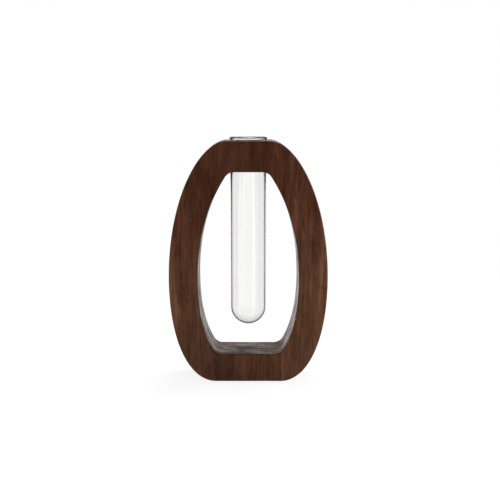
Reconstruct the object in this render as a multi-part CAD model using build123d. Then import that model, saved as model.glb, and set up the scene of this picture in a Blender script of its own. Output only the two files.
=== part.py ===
from build123d import *
import math
import os

# Test tube vase: a round-ended glass tube hangs by its flared lip in an egg-shaped ring of walnut.
# Millimetres, +Z up, +Y to the back. The origin is the middle of the flat foot.

# Glass tube, a stock size that the ring is cut to suit
tube_diameter = 23.0
tube_length = 120.4       # from the rim to the round end
glass_wall = 1.1
flare_radius = 9.0        # outside radius of the bend that opens the lip
flare_angle = 20.0        # degrees that the lip leans out from upright

# Bore through the top bar
bore_clearance = 0.3      # gap between the tube and the bore, all round
seat_gap_share = 0.5      # gap between the lip and its seat, as a share of the bore's clearance
mouth_ease = 0.3          # countersink that breaks the bore's upper edge
mouth_margin = 0.9        # level wood left beside the countersink
bore_wall = 5.2           # wood in front of the bore and behind it
cut_overrun = 2.0         # how far a cutter runs on past the wood

# Walnut ring, cut from one board
ring_width = 100.0        # at the widest level
widest_level = 66.0       # height of the widest point of the ring and of its window
side_wall = 18.2          # wood beside the window at the widest level
base_bar = 17.9           # wood under the window
top_bar = 19.5            # wood over the window
tube_gap = 16.1           # air between the tube's round end and the sill of the window
foot_flat = 41.0          # width of the flat that the ring stands on
sill_flat = 42.0          # width of the window's sill, between its corners
lintel_flat = 25.0        # width of the window's lintel, between its corners
window_corner = 6.5       # radius that the window's corners are rounded to
arris_ease = 0.8          # sanded edges of the front and back faces

# Guide curve of each quarter of an outline, by the reach of its two handles: the flat's handle, as
# shares of the quarter's width and of its height, and the upright handle of the side, as a share of
# the height. The ring leaves its flats in line with them, and the window at a corner. The outline
# follows the guide in arcs, so that the sides are true cylinders and their eased edges true cones.
foot_curve_shares = (0.57, 0, 0.62)
top_curve_shares = (0.47, 0, 0.58)
sill_curve_shares = (0.26, 0.13, 0.67)
lintel_curve_shares = (0.28, 0.125, 0.56)
arc_pairs = 3             # pairs of arcs that draw one quarter

# Sizes that follow from the tube and its bore
tube_radius = tube_diameter / 2
bore_radius = tube_radius + bore_clearance
mouth_radius = bore_radius + mouth_ease
top_flat = 2 * (mouth_radius + mouth_margin)
ring_depth = 2 * (bore_radius + bore_wall)

# The lip: its bend starts inside the bore, seats on the foot of the countersink and ends in a round rim
rim_radius = glass_wall / 2
rim_reach = flare_radius + rim_radius
lean = math.radians(flare_angle)
bend_to_seat = flare_radius - bore_clearance * seat_gap_share
bend_to_bore = flare_radius - bore_clearance
bend_depth = mouth_ease + math.sqrt(bend_to_seat**2 - bend_to_bore**2)
rim_stand = rim_reach * math.sin(lean) + rim_radius - bend_depth
ring_height = base_bar + tube_gap + tube_length - rim_stand


def arc_pair(start, start_way, end, end_way):
    """Two arcs, in line where they meet, that leave start and reach end along the ways given."""
    chord = end - start
    along = chord.dot(start_way + end_way)
    bend = 1 - start_way.dot(end_way)
    handle = chord.dot(chord) / (along + math.sqrt(along**2 + 2 * bend * chord.dot(chord)))
    start_handle = start + start_way * handle
    end_handle = end - end_way * handle
    meeting = (start_handle + end_handle) / 2
    return [
        TangentArc(start, meeting, tangent=start_way),
        TangentArc(meeting, end, tangent=end_handle - start_handle),
    ]


def quarter_arcs(flat_end, widest_point, shares):
    """Arcs from the end of a flat, along a guide curve that arrives upright at the widest point."""
    flat_share, rise_share, side_share = shares
    reach = widest_point - flat_end
    flat_handle = Vector(reach.X * flat_share, reach.Y * rise_share)
    side_handle = Vector(0, reach.Y * side_share)
    guide = Bezier(flat_end, flat_end + flat_handle, widest_point - side_handle, widest_point)
    arcs = []
    for pair in range(arc_pairs):
        start = pair / arc_pairs
        end = (pair + 1) / arc_pairs
        arcs += arc_pair(guide @ start, guide % start, guide @ end, guide % end)
    return arcs


def egg_face(width, low, high, low_flat, high_flat, low_shares, high_shares):
    """Upright egg-shaped face with a level flat at its low and high ends."""
    widest_point = Vector(width / 2, widest_level)
    low_end = Vector(low_flat / 2, low)
    high_end = Vector(high_flat / 2, high)
    right_side = [
        *quarter_arcs(low_end, widest_point, low_shares),
        *quarter_arcs(high_end, widest_point, high_shares),
    ]
    left_side = [mirror(arc, Plane.YZ) for arc in right_side]
    flats = [
        Line((-low_end.X, low), low_end),
        Line((-high_end.X, high), high_end),
    ]
    return Plane.XZ * make_face(right_side + left_side + flats)


def bore_cutter():
    """Drill for the tube's bore, from the open window up through the countersunk mouth."""
    half_section = Polyline(
        (0, widest_level),
        (bore_radius, widest_level),
        (bore_radius, ring_height - mouth_ease),
        (mouth_radius, ring_height),
        (mouth_radius + cut_overrun, ring_height + cut_overrun),
        (0, ring_height + cut_overrun),
        close=True,
    )
    return revolve(Plane.XZ * make_face(half_section), Axis.Z)


def walnut_frame():
    """Ring of board with its window, eased edges and bore."""
    outside = egg_face(
        ring_width, 0, ring_height, foot_flat, top_flat, foot_curve_shares, top_curve_shares
    )
    window = egg_face(
        ring_width - 2 * side_wall,
        base_bar,
        ring_height - top_bar,
        sill_flat,
        lintel_flat,
        sill_curve_shares,
        lintel_curve_shares,
    )
    window_levels = window.vertices().group_by(Axis.Z)
    window = fillet(window_levels[0] + window_levels[-1], radius=window_corner)
    board = extrude(Pos(0, ring_depth / 2) * (outside - window), amount=ring_depth)
    faces_by_depth = board.faces().sort_by(Axis.Y)
    arrises = faces_by_depth[0].edges() + faces_by_depth[-1].edges()
    return chamfer(arrises, length=arris_ease) - bore_cutter()


def glass_tube():
    """Drawn tube of even wall, with a round end and a flared lip rounded in the flame."""
    inner_radius = tube_radius - glass_wall
    bend_centre = Vector(tube_radius + flare_radius, ring_height - bend_depth)
    rim_centre = bend_centre + Vector(-math.cos(lean), math.sin(lean)) * rim_reach
    end_centre = Vector(0, base_bar + tube_gap + tube_radius)
    half_section = [
        CenterArc(end_centre, tube_radius, -90, 90),
        Line((tube_radius, end_centre.Y), (tube_radius, bend_centre.Y)),
        CenterArc(bend_centre, flare_radius, 180, -flare_angle),
        CenterArc(rim_centre, rim_radius, -flare_angle, 180),
        CenterArc(bend_centre, flare_radius + glass_wall, 180 - flare_angle, flare_angle),
        Line((inner_radius, bend_centre.Y), (inner_radius, end_centre.Y)),
        CenterArc(end_centre, inner_radius, 0, -90),
        Line((0, end_centre.Y - inner_radius), (0, end_centre.Y - tube_radius)),
    ]
    return revolve(Plane.XZ * make_face(half_section), Axis.Z)


os.makedirs("parts", exist_ok=True)
export_step(walnut_frame(), "parts/walnut_frame.step")
export_step(glass_tube(), "parts/glass_tube.step")
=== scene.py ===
import bmesh
import bpy
import math
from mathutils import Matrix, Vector
from mathutils.geometry import interpolate_bezier


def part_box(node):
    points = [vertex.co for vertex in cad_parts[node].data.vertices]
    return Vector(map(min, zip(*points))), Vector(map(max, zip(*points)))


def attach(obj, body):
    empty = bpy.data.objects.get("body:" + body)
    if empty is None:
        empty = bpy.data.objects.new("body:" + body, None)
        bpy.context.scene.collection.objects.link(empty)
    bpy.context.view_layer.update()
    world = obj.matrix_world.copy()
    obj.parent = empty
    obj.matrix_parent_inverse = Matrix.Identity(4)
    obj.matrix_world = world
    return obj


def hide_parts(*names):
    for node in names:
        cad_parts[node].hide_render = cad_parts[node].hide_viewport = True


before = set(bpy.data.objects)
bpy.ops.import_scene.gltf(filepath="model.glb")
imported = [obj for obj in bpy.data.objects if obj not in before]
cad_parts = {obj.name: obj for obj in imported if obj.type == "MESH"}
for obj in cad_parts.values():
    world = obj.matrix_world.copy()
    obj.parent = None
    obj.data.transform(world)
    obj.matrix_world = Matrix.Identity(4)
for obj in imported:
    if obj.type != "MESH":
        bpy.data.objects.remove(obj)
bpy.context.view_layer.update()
collection = bpy.context.scene.collection

# Walnut ring
# One board of black walnut, sawn to an egg-shaped outline with a window in it. The edges are sanded
# round, a bore for the tube is drilled down through the top bar, and the wood has a satin oil finish.
ring_low, ring_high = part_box("walnut_frame")
ring_top = ring_high.z
ring_half_width = ring_high.x
ring_half_depth = ring_high.y
widest_level = 0.066
side_wall = 0.0182
base_bar = 0.0179
top_bar = 0.0195
sill_level = ring_low.z + base_bar
lintel_level = ring_top - top_bar
foot_flat = 0.041
top_flat = 0.026
sill_flat = 0.042
lintel_flat = 0.025
window_corner = 0.0065
corner_points = 24
least_corner_turn = 0.1   # radians; an outline that turns less leaves its flat in line
arris_radius = 0.0012
arris_steps = 6
quarter_points = 96
guide_points = 400
bore_radius = 0.0118
mouth_ease = 0.0003
mouth_steps = 6
bore_points = 160
cut_overrun = 0.002
sharp_angle = math.radians(35)

# Handles of each quarter's guide curve, as shares of its reach: along and up at the flat, up at the side
foot_shares = (0.57, 0, 0.62)
top_shares = (0.47, 0, 0.58)
sill_shares = (0.26, 0.13, 0.67)
lintel_shares = (0.28, 0.125, 0.56)


def quarter_points_from_flat(flat_half, flat_level, half_width, shares):
    """Points of one quarter of an outline, from the end of a flat to the widest level."""
    flat_share, rise_share, side_share = shares
    start = Vector((flat_half, 0, flat_level))
    end = Vector((half_width, 0, widest_level))
    reach = end - start
    start_handle = start + Vector((reach.x * flat_share, 0, reach.z * rise_share))
    end_handle = end - Vector((0, 0, reach.z * side_share))
    return interpolate_bezier(start, start_handle, end_handle, end, guide_points)


def corner_rounded(quarter, radius):
    """The quarter with the corner that it makes with its flat rounded off."""
    corner = quarter[0]
    side_way = (quarter[1] - corner).normalized()
    turn = side_way.angle(Vector((1, 0, 0)))
    if turn < least_corner_turn:
        return quarter
    cut_back = radius * math.tan(turn / 2)
    kept = [point for point in quarter if (point - corner).length > cut_back]
    start = corner - Vector((cut_back, 0, 0))
    handle = 4 / 3 * math.tan(turn / 4) * radius / cut_back
    start_handle = start.lerp(corner, handle)
    end_handle = kept[0].lerp(corner, handle)
    return interpolate_bezier(start, start_handle, end_handle, kept[0], corner_points)[:-1] + kept


def evenly_spaced(line, count):
    """Points at equal steps along a line of closely set points."""
    lengths = [0]
    for a, b in zip(line, line[1:]):
        lengths.append(lengths[-1] + (b - a).length)
    spaced = [line[0]]
    here = 0
    for step in range(1, count - 1):
        target = lengths[-1] * step / (count - 1)
        while lengths[here + 1] < target:
            here += 1
        share = (target - lengths[here]) / (lengths[here + 1] - lengths[here])
        spaced.append(line[here].lerp(line[here + 1], share))
    return spaced + [line[-1]]


def egg_outline(half_width, low, high, low_flat, high_flat, low_shares, high_shares):
    """Closed outline in the upright plane, from the low flat up the right side and down the left."""
    quarters = []
    for flat, level, shares in ((low_flat, low, low_shares), (high_flat, high, high_shares)):
        quarter = quarter_points_from_flat(flat / 2, level, half_width, shares)
        quarters.append(evenly_spaced(corner_rounded(quarter, window_corner), quarter_points))
    lower, upper = quarters
    right = lower + upper[-2::-1]
    left = [Vector((-point.x, 0, point.z)) for point in reversed(right)]
    return right + left


def outward_ways(outline):
    """Unit vectors that point out of a closed outline, one for each of its points."""
    ways = []
    for i in range(len(outline)):
        along = outline[(i + 1) % len(outline)] - outline[i - 1]
        ways.append(Vector((along.z, 0, -along.x)).normalized())
    return ways


def arris_rows(outline, into_wood):
    """Rows of points round one outline, from the back face over both rounded arrises to the front."""
    ways = outward_ways(outline)
    rows = []
    for side in (1, -1):
        angles = [math.pi / 2 * step / arris_steps for step in range(arris_steps + 1)]
        for angle in (reversed(angles) if side > 0 else angles):
            inset = arris_radius * (1 - math.cos(angle)) * into_wood
            depth = side * (ring_half_depth - arris_radius * (1 - math.sin(angle)))
            rows.append([p - way * inset + Vector((0, depth, 0)) for p, way in zip(outline, ways)])
    return rows


def mesh_from_rows(name, rows):
    """Mesh of quads between closed rows of points, the last row joined to the first."""
    mesh = bmesh.new()
    loops = [[mesh.verts.new(point) for point in row] for row in rows]
    for a, b in zip(loops, loops[1:] + loops[:1]):
        for i in range(len(a)):
            j = (i + 1) % len(a)
            mesh.faces.new((a[i], a[j], b[j], b[i]))
    bmesh.ops.recalc_face_normals(mesh, faces=mesh.faces)
    data = bpy.data.meshes.new(name)
    mesh.to_mesh(data)
    mesh.free()
    return data


def lathe_mesh(name, profile, points):
    """Mesh turned round the upright axis from (radius, height) pairs that start and end on the axis."""
    mesh = bmesh.new()
    turns = [2 * math.pi * i / points for i in range(points)]
    ends = [mesh.verts.new((0, 0, height)) for _, height in (profile[0], profile[-1])]
    loops = [
        [mesh.verts.new((radius * math.cos(t), radius * math.sin(t), height)) for t in turns]
        for radius, height in profile[1:-1]
    ]
    for i in range(points):
        j = (i + 1) % points
        mesh.faces.new((ends[0], loops[0][j], loops[0][i]))
        for a, b in zip(loops, loops[1:]):
            mesh.faces.new((a[i], a[j], b[j], b[i]))
        mesh.faces.new((ends[1], loops[-1][i], loops[-1][j]))
    bmesh.ops.recalc_face_normals(mesh, faces=mesh.faces)
    data = bpy.data.meshes.new(name)
    mesh.to_mesh(data)
    mesh.free()
    return data


def bore_profile():
    """Half section of the drill: straight in the bar, then flared over the rounded mouth."""
    profile = [(0, widest_level), (bore_radius, widest_level)]
    for step in range(mouth_steps):
        angle = math.pi / 2 * step / mouth_steps
        profile.append(
            (
                bore_radius + mouth_ease * (1 - math.cos(angle)),
                ring_top - mouth_ease * (1 - math.sin(angle)),
            )
        )
    profile.append((bore_radius + mouth_ease, ring_top + cut_overrun))
    profile.append((0, ring_top + cut_overrun))
    return profile


def drilled(board, profile):
    """The board's mesh with a turned hole cut through it."""
    drill = bpy.data.objects.new("drill", lathe_mesh("drill", profile, bore_points))
    collection.objects.link(drill)
    cut = board.modifiers.new("bore", "BOOLEAN")
    cut.object = drill
    cut.operation = "DIFFERENCE"
    cut.solver = "EXACT"
    data = bpy.data.meshes.new_from_object(board.evaluated_get(bpy.context.evaluated_depsgraph_get()))
    board.modifiers.remove(cut)
    bpy.data.objects.remove(drill)
    return data


ring_outline = egg_outline(
    ring_half_width, ring_low.z, ring_top, foot_flat, top_flat, foot_shares, top_shares
)
window_outline = egg_outline(
    ring_half_width - side_wall,
    sill_level,
    lintel_level,
    sill_flat,
    lintel_flat,
    sill_shares,
    lintel_shares,
)
ring_rows = arris_rows(ring_outline, 1) + arris_rows(window_outline, -1)[::-1]
ring = bpy.data.objects.new("walnut_ring", mesh_from_rows("walnut_ring", ring_rows))
collection.objects.link(ring)
ring.data = drilled(ring, bore_profile())
ring.data.name = "walnut_ring"
ring.data.shade_smooth()
ring.data.set_sharp_from_angle(angle=sharp_angle)
level_faces = ring.modifiers.new("level faces", "WEIGHTED_NORMAL")
level_faces.keep_sharp = True
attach(ring, "frame")
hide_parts("walnut_frame")

# Grain of the board. The pith stood behind it, so growth bands run upright on the faces and show as
# shallow arcs on the sill, where the board is cut across. Each grain is its features per metre on
# three axes, its octaves and their strength. Bands and rings count out from the pith, across and up.
pith_place = (-0.012, 0.085, 0)
sway_scale = 11
sway_octaves = 1.5
sway_middle = (0.5, 0.5, 0.5)
grain_bend = (0.007, 0.007, 0)
band_grain = ((420, 46, 7), 3, 0.55)
ring_grain = ((170, 30, 4), 2, 0.5)
streak_grain = ((620, 620, 14), 4, 0.6)
fibre_grain = ((1900, 1900, 46), 2, 0.5)
pore_grain = ((1250, 1250, 95), 2, 0.5)
blotch_grain = ((260, 260, 60), 3, 0.6)
layer_grain = ((22, 480, 22), 3, 0.5)
drift_grain = ((16, 16, 11), 2, 0.5)
fleck_grain = ((90, 520, 60), 3, 0.6)
patch_grain = ((70, 230, 75), 3, 0.6)
pore_span = (0.60, 0.70)
drift_span = (0.35, 0.68)

# Colours, from the dark latewood to the pale bands. Painted light pales the sides and foot; painted shade
# darkens the top.
darkest_band = (0.0110, 0.0032, 0.0013, 1)
dark_band = (0.0253, 0.0077, 0.0030, 1)
plain_wood = (0.0368, 0.0121, 0.0050, 1)
light_band = (0.0680, 0.0260, 0.0124, 1)
tone_stops = ((0.36, darkest_band), (0.44, dark_band), (0.51, plain_wood), (0.64, light_band))
band_share = 0.26
ring_share = 0.22
streak_share = 0.28
blotch_share = 0.24
light_and_drift_tint = (2.05, 2.35, 2.5, 1)
# Painted shade: the top of the ring is tinted darker and redder
painted_shade_top = (1.04, 0.87, 0.79, 1)
dark_middle = -0.004
side_span = (0.006, 0.05)
least_side = 0.12
low_span = (0.13, 0.04)
high_span = (0.075, 0.125)
shoulder_span = (0.010, 0.026)
# Shares of the pale tint: painted light on the sides and foot, painted shade on the top, and the wood's
# own drift
painted_light_side = 0.3
painted_light_low = 0.42
painted_shade_high = -0.24
drift_share = 0.25
pale_shoulder = 0.09
light_and_drift_span = (0.05, 0.8)
line_middle = 0.5
line_width = 0.025
line_share = 0.6
line_shade = (0.55, 0.50, 0.47, 1)
pore_shade = (0.50, 0.47, 0.45, 1)

# Surface under the oil: the relief of the sanded grain, and a sheen that is dull in patches
end_grain_span = (0.8, 1)
fleck_relief = 4.0
layer_relief = 0.7
ring_relief = 1.2
blotch_relief = 0.5
fibre_relief = 0.3
pore_relief = -0.4
relief_strength = 0.9
relief_depth = 0.0004
sheen_ring_share = 0.2
sheen_patch_share = 0.8
sheen_span = (0.41, 0.6)
dull_to_glossy = (0.5, 0.15)
reflection_tint = (1.0, 0.86, 0.78, 1)
reflection_level = 0.2


def add_node(tree, kind, inputs=(), **settings):
    """A shader node with its settings, and with inputs set to values or linked from other nodes."""
    made = tree.nodes.new(kind)
    for name, value in settings.items():
        setattr(made, name, value)
    for name, value in dict(inputs).items():
        if isinstance(value, bpy.types.NodeSocket):
            tree.links.new(value, made.inputs[name])
        else:
            made.inputs[name].default_value = value
    return made


def vector_sum(tree, operation, a, b=(0, 0, 0)):
    """One sum, product or the like of two vectors."""
    return add_node(tree, "ShaderNodeVectorMath", {0: a, 1: b}, operation=operation)


def value_sum(tree, operation, a, b):
    """One sum, product or the like of two values."""
    return add_node(tree, "ShaderNodeMath", {0: a, 1: b}, operation=operation).outputs[0]


def blend_of(tree, *parts):
    """Values added together, each times its share."""
    total = 0
    for value, share in parts:
        total = value_sum(tree, "ADD", total, value_sum(tree, "MULTIPLY", value, share))
    return total


def remapped(tree, value, low, high, to_low=0, to_high=1):
    """The value stretched from one span to another, and held at the ends."""
    spans = {"Value": value, "From Min": low, "From Max": high, "To Min": to_low, "To Max": to_high}
    return add_node(tree, "ShaderNodeMapRange", spans).outputs["Result"]


def grain_noise(tree, place, grain):
    """Noise with so many features per metre on each axis, so many octaves and their strength."""
    stretch, octaves, strength = grain
    scaled = vector_sum(tree, "MULTIPLY", place, stretch).outputs[0]
    noise = {"Vector": scaled, "Scale": 1, "Detail": octaves, "Roughness": strength}
    return add_node(tree, "ShaderNodeTexNoise", noise).outputs["Fac"]


def tinted(tree, share, colour, tint):
    """The colour multiplied by a tint, as far as the share says."""
    parts = {"Fac": share, "Color1": colour, "Color2": tint}
    return add_node(tree, "ShaderNodeMixRGB", parts, blend_type="MULTIPLY").outputs["Color"]


def oiled_walnut():
    """Walnut with growth bands, fibre, open pores and a drift of colour, under a thin satin oil."""
    material = bpy.data.materials.new("oiled_walnut")
    material.use_nodes = True
    tree = material.node_tree
    here = add_node(tree, "ShaderNodeTexCoord").outputs["Object"]
    sway = {"Vector": here, "Scale": sway_scale, "Detail": sway_octaves}
    sway = add_node(tree, "ShaderNodeTexNoise", sway).outputs["Color"]
    sway = vector_sum(tree, "SUBTRACT", sway, sway_middle).outputs[0]
    sway = vector_sum(tree, "MULTIPLY", sway, grain_bend).outputs[0]
    grain = vector_sum(tree, "ADD", here, sway).outputs[0]
    from_pith = vector_sum(tree, "SUBTRACT", grain, pith_place).outputs[0]
    from_pith = vector_sum(tree, "MULTIPLY", from_pith, (1, 1, 0)).outputs[0]
    growth = vector_sum(tree, "LENGTH", from_pith).outputs["Value"]
    place = add_node(tree, "ShaderNodeSeparateXYZ", {0: grain}).outputs
    growth_place = {"X": growth, "Y": place["X"], "Z": place["Z"]}
    growth_place = add_node(tree, "ShaderNodeCombineXYZ", growth_place).outputs[0]

    bands = grain_noise(tree, growth_place, band_grain)
    rings = grain_noise(tree, growth_place, ring_grain)
    streaks = grain_noise(tree, grain, streak_grain)
    fibres = grain_noise(tree, grain, fibre_grain)
    pores = remapped(tree, grain_noise(tree, grain, pore_grain), *pore_span)
    blotches = grain_noise(tree, grain, blotch_grain)
    layers = grain_noise(tree, grain, layer_grain)
    drift = remapped(tree, grain_noise(tree, here, drift_grain), *drift_span)

    figure = blend_of(
        tree,
        (bands, band_share),
        (rings, ring_share),
        (streaks, streak_share),
        (blotches, blotch_share),
    )
    tone = add_node(tree, "ShaderNodeValToRGB", {"Fac": figure})
    stops = tone.color_ramp.elements
    for stop, (level, colour) in zip(stops, (tone_stops[0], tone_stops[-1])):
        stop.position = level
        stop.color = colour
    for level, colour in tone_stops[1:-1]:
        stops.new(level).color = colour

    # Painted light and shade: masks by place that pale the sides and the foot and darken the top
    sidewards = value_sum(tree, "SUBTRACT", place["X"], dark_middle)
    sidewards = value_sum(tree, "ABSOLUTE", sidewards, 0)
    sidewards = remapped(tree, sidewards, *side_span, least_side, 1)
    downwards = value_sum(tree, "MULTIPLY", sidewards, remapped(tree, place["Z"], *low_span))
    upwards = remapped(tree, place["Z"], *high_span)
    shoulder = value_sum(tree, "MULTIPLY", upwards, remapped(tree, place["X"], *shoulder_span))
    painted_light_and_drift = blend_of(
        tree,
        (sidewards, painted_light_side),
        (downwards, painted_light_low),
        (upwards, painted_shade_high),
        (drift, drift_share),
        (shoulder, pale_shoulder),
    )
    lines = value_sum(tree, "SUBTRACT", bands, line_middle)
    lines = value_sum(tree, "ABSOLUTE", lines, 0)
    lines = remapped(tree, lines, 0, line_width, line_share, 0)
    # The pale tint carries painted light and shade, mixed with the wood's own drift of tone
    colour = tinted(tree, remapped(tree, painted_light_and_drift, *light_and_drift_span), tone.outputs["Color"], light_and_drift_tint)
    # Painted shade on the top bar
    colour = tinted(tree, upwards, colour, painted_shade_top)
    colour = tinted(tree, lines, colour, line_shade)
    colour = tinted(tree, pores, colour, pore_shade)

    facing = add_node(tree, "ShaderNodeNewGeometry").outputs["Normal"]
    facing_up = add_node(tree, "ShaderNodeSeparateXYZ", {0: facing}).outputs["Z"]
    end_grain = remapped(tree, value_sum(tree, "ABSOLUTE", facing_up, 0), *end_grain_span)
    flecks = value_sum(tree, "MULTIPLY", grain_noise(tree, here, fleck_grain), end_grain)
    height = blend_of(
        tree,
        (flecks, fleck_relief),
        (layers, layer_relief),
        (rings, ring_relief),
        (blotches, blotch_relief),
        (fibres, fibre_relief),
        (pores, pore_relief),
    )
    relief = {"Height": height, "Strength": relief_strength, "Distance": relief_depth}
    relief = add_node(tree, "ShaderNodeBump", relief).outputs["Normal"]
    patches = grain_noise(tree, here, patch_grain)
    sheen = blend_of(tree, (rings, sheen_ring_share), (patches, sheen_patch_share))

    finish = tree.nodes["Principled BSDF"].inputs
    tree.links.new(colour, finish["Base Color"])
    tree.links.new(remapped(tree, sheen, *sheen_span, *dull_to_glossy), finish["Roughness"])
    tree.links.new(relief, finish["Normal"])
    finish["Specular IOR Level"].default_value = reflection_level
    finish["Specular Tint"].default_value = reflection_tint
    return material


ring.data.materials.append(oiled_walnut())

# Glass tube
# A round-bottomed test tube of clear borosilicate, drawn to an even wall. Its lip is flared and melted
# round in the flame, and it hangs by that lip on the eased mouth of the bore.
tube_low, tube_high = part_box("glass_tube")
tube_radius = 0.0115
glass_wall = 0.0011
flare_radius = 0.009
lean = math.radians(20)
tube_points = 192
end_steps = 28
bend_steps = 16
rim_steps = 14
quarter = math.pi / 2
ripple_grain = ((70, 70, 9), 2, 0.5)
ripple_strength = 0.03
ripple_depth = 0.0004
smear_grain = ((160, 160, 60), 3, 0.5)
smear_span = (0.45, 0.8)
clear_to_smeared = (0.0, 0.02)
glass_bending = 1.45
clear_glass = (0.972, 0.973, 0.966, 1)
# Painted shade: the dark edge line is painted into the glass's colour
painted_edge_shade = (0.012, 0.014, 0.013, 1)
edge_start = (0.54, 0.59)  # slants, from 0 face on to 1 edge on, over which the dark line comes in
edge_end = (0.67, 0.76)    # and goes out again
inner_radius = tube_radius - glass_wall
rim_radius = glass_wall / 2
rim_reach = flare_radius + rim_radius
end_centre = (0, tube_low.z + tube_radius)
bend_centre = (tube_radius + flare_radius, tube_high.z - rim_radius - rim_reach * math.sin(lean))
rim_centre = (bend_centre[0] - rim_reach * math.cos(lean), tube_high.z - rim_radius)


def arc(centre, radius, start, turn, steps):
    """Points of an arc as (radius, height) pairs, from the start angle through the turn."""
    angles = [start + turn * step / steps for step in range(steps + 1)]
    return [(centre[0] + radius * math.cos(a), centre[1] + radius * math.sin(a)) for a in angles]


tube_profile = (
    arc(end_centre, tube_radius, -quarter, quarter, end_steps)
    + arc(bend_centre, flare_radius, math.pi, -lean, bend_steps)
    + arc(rim_centre, rim_radius, -lean, math.pi, rim_steps)[1:]
    + arc(bend_centre, flare_radius + glass_wall, math.pi - lean, lean, bend_steps)[1:]
    + arc(end_centre, inner_radius, 0, -quarter, end_steps)
)
tube = bpy.data.objects.new("glass_tube_clear", lathe_mesh("glass_tube_clear", tube_profile, tube_points))
collection.objects.link(tube)
tube.data.shade_smooth()
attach(tube, "tube")
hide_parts("glass_tube")


def drawn_glass():
    """Clear glass with faint ripples and smears, and a dark line inside its outline.

    This line is painted shade, for where the wall turns the light behind the tube aside, on its outer
    face alone.
    """
    material = bpy.data.materials.new("drawn_glass")
    material.use_nodes = True
    tree = material.node_tree
    here = add_node(tree, "ShaderNodeTexCoord").outputs["Object"]
    ripples = grain_noise(tree, here, ripple_grain)
    smears = grain_noise(tree, here, smear_grain)
    wave = {"Height": ripples, "Strength": ripple_strength, "Distance": ripple_depth}
    wave = add_node(tree, "ShaderNodeBump", wave).outputs["Normal"]
    slant = add_node(tree, "ShaderNodeLayerWeight", {"Blend": 0.5}).outputs["Facing"]
    # Distance from the tube's spine, which ends at the middle of the round end
    from_spine = vector_sum(tree, "SUBTRACT", here, (0, 0, end_centre[1])).outputs[0]
    from_spine = vector_sum(tree, "MINIMUM", from_spine, (1, 1, 0)).outputs[0]
    from_spine = vector_sum(tree, "LENGTH", from_spine).outputs["Value"]
    # Painted shade: mask of the dark line near the outline
    painted_edge = remapped(tree, from_spine, inner_radius + rim_radius, tube_radius)
    painted_edge = value_sum(tree, "MULTIPLY", painted_edge, remapped(tree, slant, *edge_start))
    painted_edge = value_sum(tree, "MULTIPLY", painted_edge, remapped(tree, slant, *edge_end, 1, 0))
    body = {"Fac": painted_edge, "Color1": clear_glass, "Color2": painted_edge_shade}
    body = add_node(tree, "ShaderNodeMixRGB", body).outputs["Color"]
    finish = tree.nodes["Principled BSDF"].inputs
    tree.links.new(body, finish["Base Color"])
    tree.links.new(wave, finish["Normal"])
    tree.links.new(remapped(tree, smears, *smear_span, *clear_to_smeared), finish["Roughness"])
    finish["Transmission Weight"].default_value = 1
    finish["IOR"].default_value = glass_bending
    return material


tube.data.materials.append(drawn_glass())

# Floor and surroundings
# A white table that takes a faint shadow and goes off into a white studio. In reflections the studio
# is white behind the vase, dim at the sides and on the near side, and has two pale cards in front.
floor_reach = 3.0
floor_tone = (0.9, 0.9, 0.9, 1)
white_share = 0.45   # sideways share of a direction up to which the studio behind is white
dim_share = 0.62     # and from which it is dim
dim_side = 0.08
dim_front = 0.1
near_front = 0.5
near_reach = 0.12
near_fade = 0.4
backdrop_share = 0.1
dark_wall_share = 0.4
dark_wall = 0.25
card_shares = (-0.84, 0.56)   # sideways shares of the directions of the cards
card_half_share = 0.07
card_fade_share = 0.08
card_level = 1.7
turn_share = 0.1
horizon_share = 0.01
# Painted shadow: how far the floor seen in glass and reflections is darkened near the vase
own_shade = 0.8
own_shade_reach = 0.03
own_shade_fade = 0.13
shadow_reach = 0.1
shadow_fade = 0.4
shadow_share = 0.14
plain_light = 0.55


def seen_rays(tree):
    """Whether a ray comes from the camera, through glass, or from a reflection or glass alike."""
    ray = add_node(tree, "ShaderNodeLightPath").outputs
    sent = value_sum(tree, "MAXIMUM", ray["Is Glossy Ray"], ray["Is Transmission Ray"])
    return ray["Is Camera Ray"], ray["Is Transmission Ray"], sent


def studio_level(tree, way, front):
    """How bright a reflection that way is: white behind, dim at the sides and with two cards in front."""
    level_way = vector_sum(tree, "MULTIPLY", way, (1, 1, 0)).outputs[0]
    level_way = vector_sum(tree, "NORMALIZE", level_way).outputs[0]
    shares = add_node(tree, "ShaderNodeSeparateXYZ", {0: level_way}).outputs
    sideways = value_sum(tree, "ABSOLUTE", shares["X"], 0)
    behind = remapped(tree, sideways, white_share, dim_share, 1, dim_side)
    for card_share in card_shares:
        off_card = value_sum(tree, "SUBTRACT", shares["X"], card_share)
        off_card = value_sum(tree, "ABSOLUTE", off_card, 0)
        card_end_share = card_half_share + card_fade_share
        card = remapped(tree, off_card, card_half_share, card_end_share, card_level, 0)
        front = value_sum(tree, "MAXIMUM", front, card)
    onward = remapped(tree, shares["Y"], -turn_share, turn_share)
    mixed = {"Fac": onward, "Color1": front, "Color2": behind}
    return add_node(tree, "ShaderNodeMixRGB", mixed).outputs["Color"]


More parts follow.
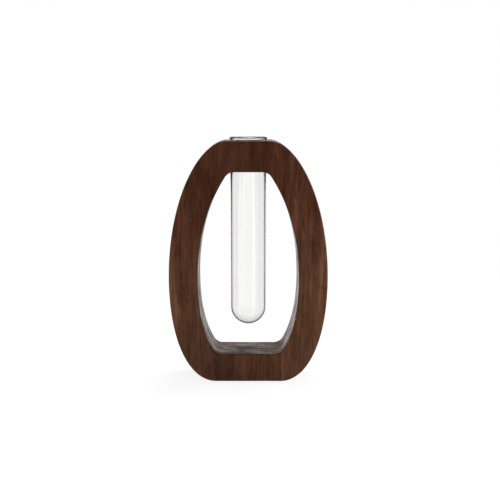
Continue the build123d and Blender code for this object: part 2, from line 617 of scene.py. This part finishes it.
def white_floor():
    """White tabletop with a faint true shadow near the vase, and plain white further off."""
    material = bpy.data.materials.new("white_floor")
    material.use_nodes = True
    tree = material.node_tree
    tree.nodes.remove(tree.nodes["Principled BSDF"])
    camera_ray, glass_ray, sent_ray = seen_rays(tree)
    here = add_node(tree, "ShaderNodeTexCoord").outputs["Object"]
    away = vector_sum(tree, "LENGTH", here).outputs["Value"]
    white = remapped(tree, away, shadow_reach, shadow_reach + shadow_fade, 1 - shadow_share, 1)
    matt = add_node(tree, "ShaderNodeBsdfDiffuse", {"Color": floor_tone})
    # Painted shadow: the floor that glass and reflections see is darker near the vase
    shade = remapped(tree, away, own_shade_reach, own_shade_reach + own_shade_fade, own_shade, 1)
    front = remapped(tree, away, near_reach, near_reach + near_fade, near_front, dim_front)
    level = value_sum(tree, "MAXIMUM", glass_ray, studio_level(tree, here, front))
    level = value_sum(tree, "MULTIPLY", level, shade)
    level = value_sum(tree, "MULTIPLY", level, sent_ray)
    level = value_sum(tree, "ADD", level, camera_ray)
    glow = add_node(tree, "ShaderNodeEmission", {"Strength": level})
    share = value_sum(tree, "MAXIMUM", value_sum(tree, "MULTIPLY", camera_ray, white), sent_ray)
    parts = {0: share, 1: matt.outputs[0], 2: glow.outputs[0]}
    mixed = add_node(tree, "ShaderNodeMixShader", parts).outputs[0]
    tree.links.new(mixed, tree.nodes["Material Output"].inputs["Surface"])
    return material


floor = bpy.data.objects.new("floor", bpy.data.meshes.new("floor"))
corners = [(x * floor_reach, y * floor_reach, 0) for x, y in ((-1, -1), (1, -1), (1, 1), (-1, 1))]
floor.data.from_pydata(corners, [], [(0, 1, 2, 3)])
collection.objects.link(floor)
floor.data.materials.append(white_floor())

world = bpy.data.worlds.new("studio")
bpy.context.scene.world = world
world.use_nodes = True
tree = world.node_tree
camera_ray, glass_ray, sent_ray = seen_rays(tree)
way = add_node(tree, "ShaderNodeTexCoord").outputs["Generated"]
rise = add_node(tree, "ShaderNodeSeparateXYZ", {0: way}).outputs["Z"]
backdrop = remapped(tree, rise, backdrop_share, dark_wall_share, 1, dark_wall)
studio = value_sum(tree, "MAXIMUM", glass_ray, studio_level(tree, way, dim_front))
backdrop = value_sum(tree, "MULTIPLY", backdrop, studio)
far_floor = remapped(tree, rise, -horizon_share, horizon_share, 1, 0)
seen = {
    "Fac": sent_ray,
    "Color1": (plain_light, plain_light, plain_light, 1),
    "Color2": value_sum(tree, "MAXIMUM", backdrop, far_floor),
}
seen = add_node(tree, "ShaderNodeMixRGB", seen).outputs["Color"]
level = value_sum(tree, "MAXIMUM", camera_ray, seen)
tree.links.new(level, tree.nodes["Background"].inputs["Strength"])
tree.nodes["Background"].inputs["Color"].default_value = (1, 1, 1, 1)

# Lamps
# Four softboxes of a plain product studio: front left, front right, overhead behind, and a tall one at
# the right. The two in front stay out of reflections, and none is seen through the glass. Each has its
# place, width, height, power in watts and whether it shows in reflections.
aim_point = Vector((0, 0, 0.075))
softboxes = {
    "softbox_front": ((-0.55, -0.95, 0.4), 0.8, 0.8, 6.0, False),
    "softbox_right": ((0.75, -0.8, 0.25), 0.7, 0.7, 3.5, False),
    "softbox_over": ((0.1, 0.35, 1.0), 0.45, 0.45, 9.0, True),
    "softbox_side": ((1.0, 0.25, 0.55), 0.4, 1.1, 11.0, True),
}
for name, (place, width, height, power, mirrored) in softboxes.items():
    lamp = bpy.data.lights.new(name, "AREA")
    lamp.shape = "RECTANGLE"
    lamp.size = width
    lamp.size_y = height
    lamp.energy = power
    stand = bpy.data.objects.new(name, lamp)
    stand.location = place
    stand.rotation_euler = (aim_point - stand.location).to_track_quat("-Z", "Y").to_euler()
    stand.visible_glossy = mirrored
    stand.visible_transmission = False
    collection.objects.link(stand)

# Camera
# At the photograph's viewing angle, a little above the rim and looking slightly down.
camera_lens = 69.8
camera_sensor = 36
camera_stand = Vector((0.0011, -0.6167, 0.170))
camera_aim = Vector((0.0011, -0.017, 0.0846))
camera = bpy.data.cameras.new("camera")
camera.lens = camera_lens
camera.sensor_width = camera_sensor
camera_place = bpy.data.objects.new("camera", camera)
camera_place.location = camera_stand
camera_place.rotation_euler = (camera_aim - camera_stand).to_track_quat("-Z", "Y").to_euler()
collection.objects.link(camera_place)
bpy.context.scene.camera = camera_place
bpy.context.scene.view_settings.view_transform = "Standard"
